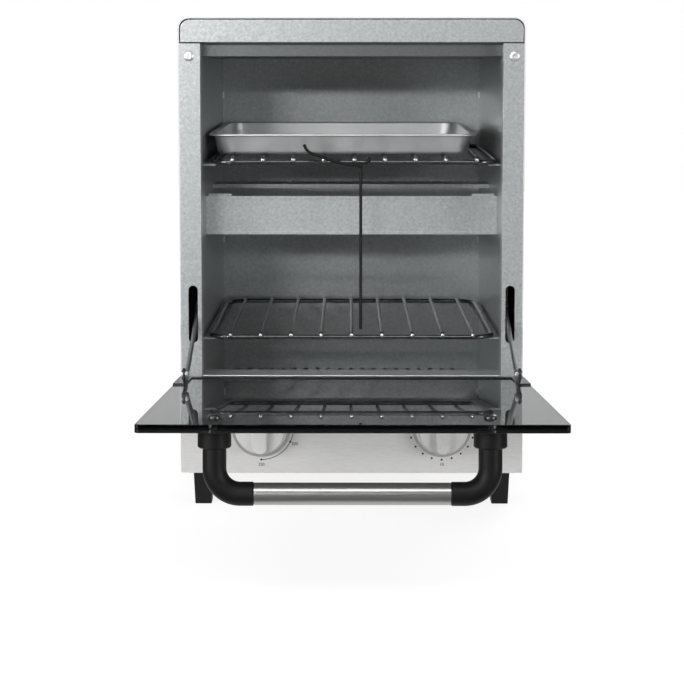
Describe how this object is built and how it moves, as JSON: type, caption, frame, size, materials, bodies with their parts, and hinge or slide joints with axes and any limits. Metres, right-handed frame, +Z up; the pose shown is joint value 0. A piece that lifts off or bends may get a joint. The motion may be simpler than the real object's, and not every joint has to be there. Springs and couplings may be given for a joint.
{
  "type": "dry heat sterilizer",
  "caption": "Upright cabinet sterilizer with a drop-down tinted glass door on side arms, wire racks, a tray, a screened middle heater and dials for heat and time.",
  "frame": {"origin": "on the bench, under the middle of the whole object's box with its door open as at rest", "axes": "+X to the right seen from the front, +Y to the back, +Z up"},
  "size_m": [0.2532, 0.5114, 0.356],
  "materials": {
    "white_enamel": "smooth white enamel",
    "panel_enamel": "smooth off-white enamel",
    "galvanised": "galvanised steel with a fine mottle",
    "black_plastic": "black moulded plastic",
    "ivory_plastic": "moulded plastic",
    "white_plastic": "white moulded plastic",
    "bright_steel": "bright steel",
    "satin_steel": "satin steel tube",
    "arm_steel": "plated steel strip",
    "heater_steel": "heat-tinted steel tube",
    "ceramic": "unglazed ceramic",
    "copper": "copper",
    "wire_cover": "silicone wire cover",
    "black_steel": "black painted steel",
    "tinted_glass": "dark tinted toughened glass",
    "rack_chrome": "plated wire",
    "tray_aluminium": "satin sheet",
    "dark_wire": "dark coated wire"
  },
  "bodies": {
    "root": {"outer_shell": "white_enamel", "rear_panel": "white_enamel", "rear_screws": "bright_steel", "base_plate": "galvanised", "feet": "black_plastic", "lintel": "galvanised", "left_post": "galvanised", "right_post": "galvanised", "sill": "galvanised", "control_panel": "panel_enamel", "frame_rivets": "bright_steel", "shell_screws": "bright_steel", "left_cavity_wall": "galvanised", "right_cavity_wall": "galvanised", "back_cavity_wall": "galvanised", "ceiling": "galvanised", "floor_pan": "galvanised", "left_rack_ledges": "galvanised", "right_rack_ledges": "galvanised", "middle_heater_guard": "galvanised", "middle_heater_cover": "galvanised", "middle_tubes": "heater_steel", "bottom_tubes": "heater_steel", "ceramic_bushes": "ceramic", "thermostat": "ceramic", "sensor_bulb": "copper", "timer": "bright_steel", "timer_bell": "bright_steel", "terminal_block": "ivory_plastic", "inside_wires": "wire_cover", "cord_gland": "black_plastic", "knob_rings": "bright_steel", "left_hinge_ear": "black_steel", "right_hinge_ear": "black_steel", "left_door_spring": "bright_steel", "right_door_spring": "bright_steel"},
    "temperature_knob": {"thermostat_shaft": "bright_steel", "temperature_knob": "white_plastic"},
    "timer_knob": {"timer_shaft": "bright_steel", "timer_knob": "white_plastic"},
    "door": {"door_glass": "tinted_glass", "door_rail": "black_steel", "left_corner_bracket": "black_steel", "right_corner_bracket": "black_steel", "hinge_pins": "bright_steel", "left_elbow": "black_plastic", "right_elbow": "black_plastic", "handle_bar": "satin_steel", "handle_screws": "black_steel", "left_arm_rivet": "bright_steel", "right_arm_rivet": "bright_steel"},
    "left_arm": {"left_arm": "arm_steel"},
    "right_arm": {"right_arm": "arm_steel"},
    "upper_rack": {"upper_rack": "rack_chrome"},
    "lower_rack": {"lower_rack": "rack_chrome"},
    "tray": {"tray": "tray_aluminium"},
    "gripper": {"tray_gripper": "dark_wire"}
  },
  "joints": [
    {"name": "door_hinge", "type": "hinge", "parent": "root", "child": "door", "pos_m": [0, 0.00347, 0.0915], "axis": [1, 0, 0], "range_deg": [-85.3, 0], "deforming": ["left_door_spring", "right_door_spring"]},
    {"name": "left_arm_pivot", "type": "hinge", "parent": "door", "child": "left_arm", "pos_m": [-0.1135, -0.05628, 0.10916], "axis": [1, 0, 0], "range_deg": [0, 54.4]},
    {"name": "right_arm_pivot", "type": "hinge", "parent": "door", "child": "right_arm", "pos_m": [0.1135, -0.05628, 0.10916], "axis": [1, 0, 0], "range_deg": [0, 54.4]},
    {"name": "temperature_knob_turn", "type": "hinge", "parent": "root", "child": "temperature_knob", "pos_m": [-0.066, 0.00468, 0.0576], "axis": [0, 1, 0], "range_deg": [0, 270]},
    {"name": "timer_knob_turn", "type": "hinge", "parent": "root", "child": "timer_knob", "pos_m": [0.066, 0.00468, 0.0576], "axis": [0, 1, 0], "range_deg": [0, 270]},
    {"name": "upper_rack_slide", "type": "slide", "parent": "root", "child": "upper_rack", "axis": [0, -0.9998, -0.0192], "range_m": [0, 0.15]},
    {"name": "lower_rack_slide", "type": "slide", "parent": "root", "child": "lower_rack", "axis": [0, -1, 0], "range_m": [0, 0.15]},
    {"name": "tray_lift", "type": "slide", "parent": "upper_rack", "child": "tray", "axis": [0, -0.0192, 0.9998], "range_m": [0, 0.03]},
    {"name": "gripper_swing", "type": "hinge", "parent": "upper_rack", "child": "gripper", "pos_m": [0, 0.01868, 0.2513], "axis": [-1, 0, 0], "range_deg": [0, 30]}
  ],
  "couplings": [
    {"joint": "left_arm_pivot", "follows": "door_hinge", "ratio": -0.63658},
    {"joint": "right_arm_pivot", "follows": "door_hinge", "ratio": -0.63658}
  ]
}
